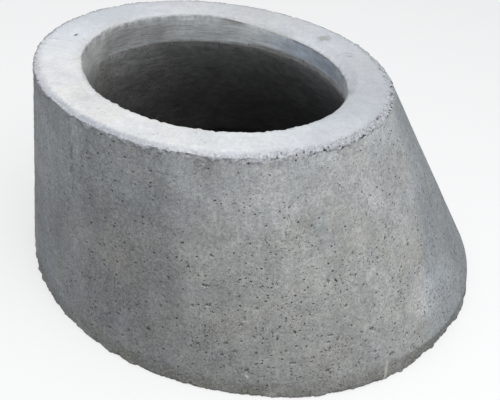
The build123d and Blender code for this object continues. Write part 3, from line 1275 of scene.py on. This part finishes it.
def inside_masks(angle, spot, sizes):
    """Shade and tints inside, and where the brushed throat ends."""
    low = sizes.height - sizes.throat_height
    ragged = ripple(spot, 0.03) + 0.6 * ripple(spot, 0.010, 2.0)
    # On the upright side the brushed tone runs on far below the throat
    deeper = between(angle, 124.0, 260.0, 20.0)
    edge = low + 0.002 + 0.012 * between(angle, -60.0, 34.0, 16.0) - 0.130 * deeper
    soft = 0.004 + 0.060 * deeper
    throat = smooth_step(spot.z + (0.0015 + 0.012 * deeper) * ragged, edge - soft, edge + soft)
    # The throat's tone changes round it in steps; from the rear round to the right it is painted
    # paler: painted light
    upper = 1.0
    upper += 0.04 * between(angle + 2.0 * ragged, 112.0, 215.0, 5.0)
    upper += 0.55 * between(angle, 133.0, 230.0, 34.0)
    upper -= 0.27 * between(angle + 2.0 * ragged, 75.0, 112.0, 8.0)
    upper -= 0.35 * between(angle, 109.0, 230.0, 10.0) * smooth_step(0.535 - spot.z, 0.0, 0.09)
    upper += 0.12 * between(angle + 3.0 * ragged, 28.0, 60.0, 14.0)
    upper += 0.18 * between(angle + 3.0 * ragged, -12.0, 22.0, 16.0)
    upper += 0.32 * between(angle, -70.0, -14.0, 16.0) + 0.20 * between(angle, -12.0, 34.0, 16.0)
    upper += 0.30 * between(angle, -90.0, -36.0, 12.0)
    mark = between(angle, 57.0, 63.0, 3.0) * math.exp(-((spot.z - 0.533) / 0.0018) ** 2)
    upper -= 0.25 * mark
    # Below it the hollow is pale on the left and right, and painted darker in the middle and lower
    # down: painted shade deep in the hollow
    deep = smooth_step(low - spot.z, 0.0, 0.16)
    lower = 1.42 - 0.73 * deep - 0.22 * smooth_step(low - spot.z, 0.15, 0.27)
    lower += 0.45 * between(angle, 84.0, 230.0, 30.0) * (1.0 - 0.4 * deep)
    lower += 1.0 * between(angle, -70.0, 5.0, 40.0) * (1.0 - 0.5 * deep)
    lower += 0.26 * between(angle, -60.0, 32.0, 30.0)
    lower *= 1.0 + 0.18 * ripple(spot, 0.06, 3.4)
    return {
        "shade": lower + (upper - lower) * throat,
        "cool": 0.15 + 0.9 * between(angle, -38.0, 24.0, 30.0) * throat,
        "blue": between(angle, -22.0, 10.0, 12.0) * (0.55 + 0.45 * throat),
        "cream": 0.8 * between(angle, 108.0, 220.0, 10.0) + 0.3 * between(angle, 70.0, 108.0, 20.0),
        "throat": throat,
        "pitting": 0.30 + 0.70 * between(angle, 80.0, 215.0, 40.0),
    }


def finish_object(shell, name, materials):
    """Make the bmesh a finished piece at the origin, hang it on the root, and hide the CAD part that
    it stands for.
    """
    mesh = bpy.data.meshes.new(name)
    shell.to_mesh(mesh)
    shell.free()
    for material in materials:
        mesh.materials.append(material)
    piece = bpy.data.objects.new(name, mesh)
    bpy.context.scene.collection.objects.link(piece)
    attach(piece, "root")
    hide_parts("cone")
    return piece


class CONE_OT_casting(bpy.types.Operator):
    """Build the concrete casting with its wear and its three finishes"""

    bl_idname = "cone.casting"
    bl_label = "Build casting"

    def execute(self, context):
        sizes = context.scene.cone_sizes
        wear = context.scene.cone_wear
        finish = context.scene.cone_finish
        groups = {
            "mottle": mottle_group(),
            "pores": pore_group(),
            "streaks": streak_group(),
            "crumble": crumble_group(),
        }
        shell = build_shell(sizes)
        close_shell(shell)
        narrow_cells(shell, ("crest", "bevel", "lip"), 1)
        narrow_cells(shell, ("arris",), 2)
        roughen(shell, sizes, wear)
        bottoms = open_holes(shell, sizes, wear, random.Random(wear.seed))
        paint_masks(shell, bottoms, sizes)
        materials = [
            cast_side_material(finish, groups),
            floated_top_material(finish, groups),
            cast_inside_material(finish, groups),
        ]
        finish_object(shell, "cone_casting", materials)
        return {"FINISHED"}


# The studio


def any_ray(tree, at, kinds):
    """1 for rays of any of these kinds."""
    path = place(tree, "ShaderNodeLightPath", at)
    shown = path.outputs[kinds[0]]
    for step, kind in enumerate(kinds[1:], start=1):
        shown = sums(tree, (at[0] + step, at[1]), "MAXIMUM", shown, path.outputs[kind])
    return shown


def put_out(tree, at, kind, factor, first, second):
    """Mix two shaders and link them to an output node of this kind."""
    mixed = place(tree, "ShaderNodeMixShader", at)
    for socket, source in zip(mixed.inputs, (factor, first, second)):
        feed(tree, source, socket)
    output = place(tree, kind, (at[0] + 2, at[1]))
    feed(tree, mixed.outputs["Shader"], output.inputs["Surface"])


def floor_material(stage):
    """Pale floor that shows white to the camera and keeps shadows; inside the shaft it is painted
    dark as shade.
    """
    material = empty_material("studio_floor")
    tree = material.node_tree
    here = object_coordinates(tree, (-6, 0))
    span = vectors(tree, (-4, 0), "LENGTH", here, result="Value")
    # Inside the shaft the floor is painted dark: painted shade
    inside = ramp(tree, (-2, 0), span, 0.50, 0.56, 1.0, 0.0)
    seen = blend(tree, (0, 1), inside, rgba(stage.floor_colour), rgba(stage.shaft_shade_colour))
    shown = any_ray(tree, (-2, 3), ("Is Camera Ray", "Is Glossy Ray"))
    bounced = blend(tree, (2, 1), shown, (0.16, 0.16, 0.16, 1.0), seen)
    shader = place(tree, "ShaderNodeBsdfDiffuse", (4, 1))
    feed(tree, bounced, shader.inputs["Color"])
    white = place(tree, "ShaderNodeEmission", (4, -1), None, {"Strength": 1.0})
    outside = sums(tree, (2, -2), "SUBTRACT", 1.0, inside)
    glow = sums(tree, (2, -3), "MULTIPLY", outside, shown)
    glow = sums(tree, (3, -2), "MULTIPLY", glow, stage.floor_glow)
    lit, bright = shader.outputs["BSDF"], white.outputs["Emission"]
    put_out(tree, (6, 1), "ShaderNodeOutputMaterial", glow, lit, bright)
    return material


def build_world(stage):
    """Even soft light, and a white background to the camera."""
    world = bpy.data.worlds.new("studio_world")
    world.use_nodes = True
    tree = world.node_tree
    tree.nodes.clear()
    shown = any_ray(tree, (-4, 2), ("Is Camera Ray", "Is Glossy Ray", "Is Transmission Ray"))
    light = place(tree, "ShaderNodeBackground", (-2, 0))
    light.inputs["Color"].default_value = (0.94, 0.97, 1.0, 1.0)
    light.inputs["Strength"].default_value = stage.ambient
    white = place(tree, "ShaderNodeBackground", (-2, -1))
    white.inputs["Color"].default_value = (1.0, 1.0, 1.0, 1.0)
    white.inputs["Strength"].default_value = 1.0
    even, bright = light.outputs["Background"], white.outputs["Background"]
    put_out(tree, (1, 0), "ShaderNodeOutputWorld", shown, even, bright)
    bpy.context.scene.world = world


def soft_lamp(name, power, size, spot, aim):
    """A square area lamp at a spot, turned towards an aim point."""
    data = bpy.data.lights.new(name, "AREA")
    data.energy = power
    data.size = size
    lamp = bpy.data.objects.new(name, data)
    lamp.location = spot
    lamp.rotation_euler = (Vector(aim) - Vector(spot)).to_track_quat("-Z", "Y").to_euler()
    bpy.context.scene.collection.objects.link(lamp)


def build_camera(stage):
    """The camera at the photograph's viewing angle."""
    azimuth = stage.camera_azimuth
    elevation = stage.camera_elevation
    back = Vector(
        (
            math.cos(elevation) * math.cos(azimuth),
            math.cos(elevation) * math.sin(azimuth),
            math.sin(elevation),
        )
    )
    right = Vector((0, 0, 1)).cross(back).normalized()
    upward = back.cross(right)
    turned = Matrix((right, upward, back)).transposed().to_4x4()
    data = bpy.data.cameras.new("photo_camera")
    data.lens = stage.lens
    data.sensor_width = 36.0
    data.clip_start = 0.01
    data.clip_end = 200.0
    camera = bpy.data.objects.new("photo_camera", data)
    place_at = Vector(stage.camera_aim) + back * stage.camera_distance
    camera.matrix_world = (
        Matrix.Translation(place_at) @ turned @ Matrix.Rotation(stage.camera_roll, 4, "Z")
    )
    bpy.context.scene.collection.objects.link(camera)
    bpy.context.scene.camera = camera


class CONE_OT_stage(bpy.types.Operator):
    """Build the floor, the lamps, the white surroundings and the camera"""

    bl_idname = "cone.stage"
    bl_label = "Build studio"

    def execute(self, context):
        stage = context.scene.cone_stage
        plane = bmesh.new()
        bmesh.ops.create_grid(plane, x_segments=1, y_segments=1, size=stage.floor_size / 2)
        mesh = bpy.data.meshes.new("studio_floor")
        plane.to_mesh(mesh)
        plane.free()
        mesh.materials.append(floor_material(stage))
        floor = bpy.data.objects.new("studio_floor", mesh)
        context.scene.collection.objects.link(floor)
        build_world(stage)
        soft_lamp("overhead", stage.overhead_power, 4.0, (0.0, 0.0, 3.2), (0, 0, 0))
        soft_lamp("front", stage.key_power, 2.5, (-0.98, -1.56, 2.92), (0, 0, 0.3))
        build_camera(stage)
        context.scene.view_settings.view_transform = "Standard"
        return {"FINISHED"}


class CONE_PT_panel(bpy.types.Panel):
    """Lists what can be built and the sizes that it uses"""

    bl_idname = "CONE_PT_panel"
    bl_label = "Manhole cone"
    bl_space_type = "VIEW_3D"
    bl_region_type = "UI"
    bl_category = "Manhole cone"

    def draw(self, context):
        layout = self.layout
        scene = context.scene
        for key in SETTINGS:
            group = getattr(scene, key)
            box = layout.box()
            for name in group.__annotations__:
                box.prop(group, name)
        layout.operator(CONE_OT_casting.bl_idname)
        layout.operator(CONE_OT_stage.bl_idname)


SETTINGS = {
    "cone_sizes": ConeSizes,
    "cone_wear": ConeWear,
    "cone_finish": ConeFinish,
    "cone_stage": ConeStage,
}
CLASSES = (*SETTINGS.values(), CONE_OT_casting, CONE_OT_stage, CONE_PT_panel)


def register():
    """Make the classes known and hang their settings on the scene."""
    for entry in CLASSES:
        bpy.utils.register_class(entry)
    for name, group in SETTINGS.items():
        setattr(bpy.types.Scene, name, bpy.props.PointerProperty(type=group))


def unregister():
    """Undo what register does."""
    for name in SETTINGS:
        delattr(bpy.types.Scene, name)
    for entry in reversed(CLASSES):
        bpy.utils.unregister_class(entry)


def main():
    """Build everything."""
    register()
    bpy.ops.cone.casting()
    bpy.ops.cone.stage()


if __name__ == "__main__":
    main()
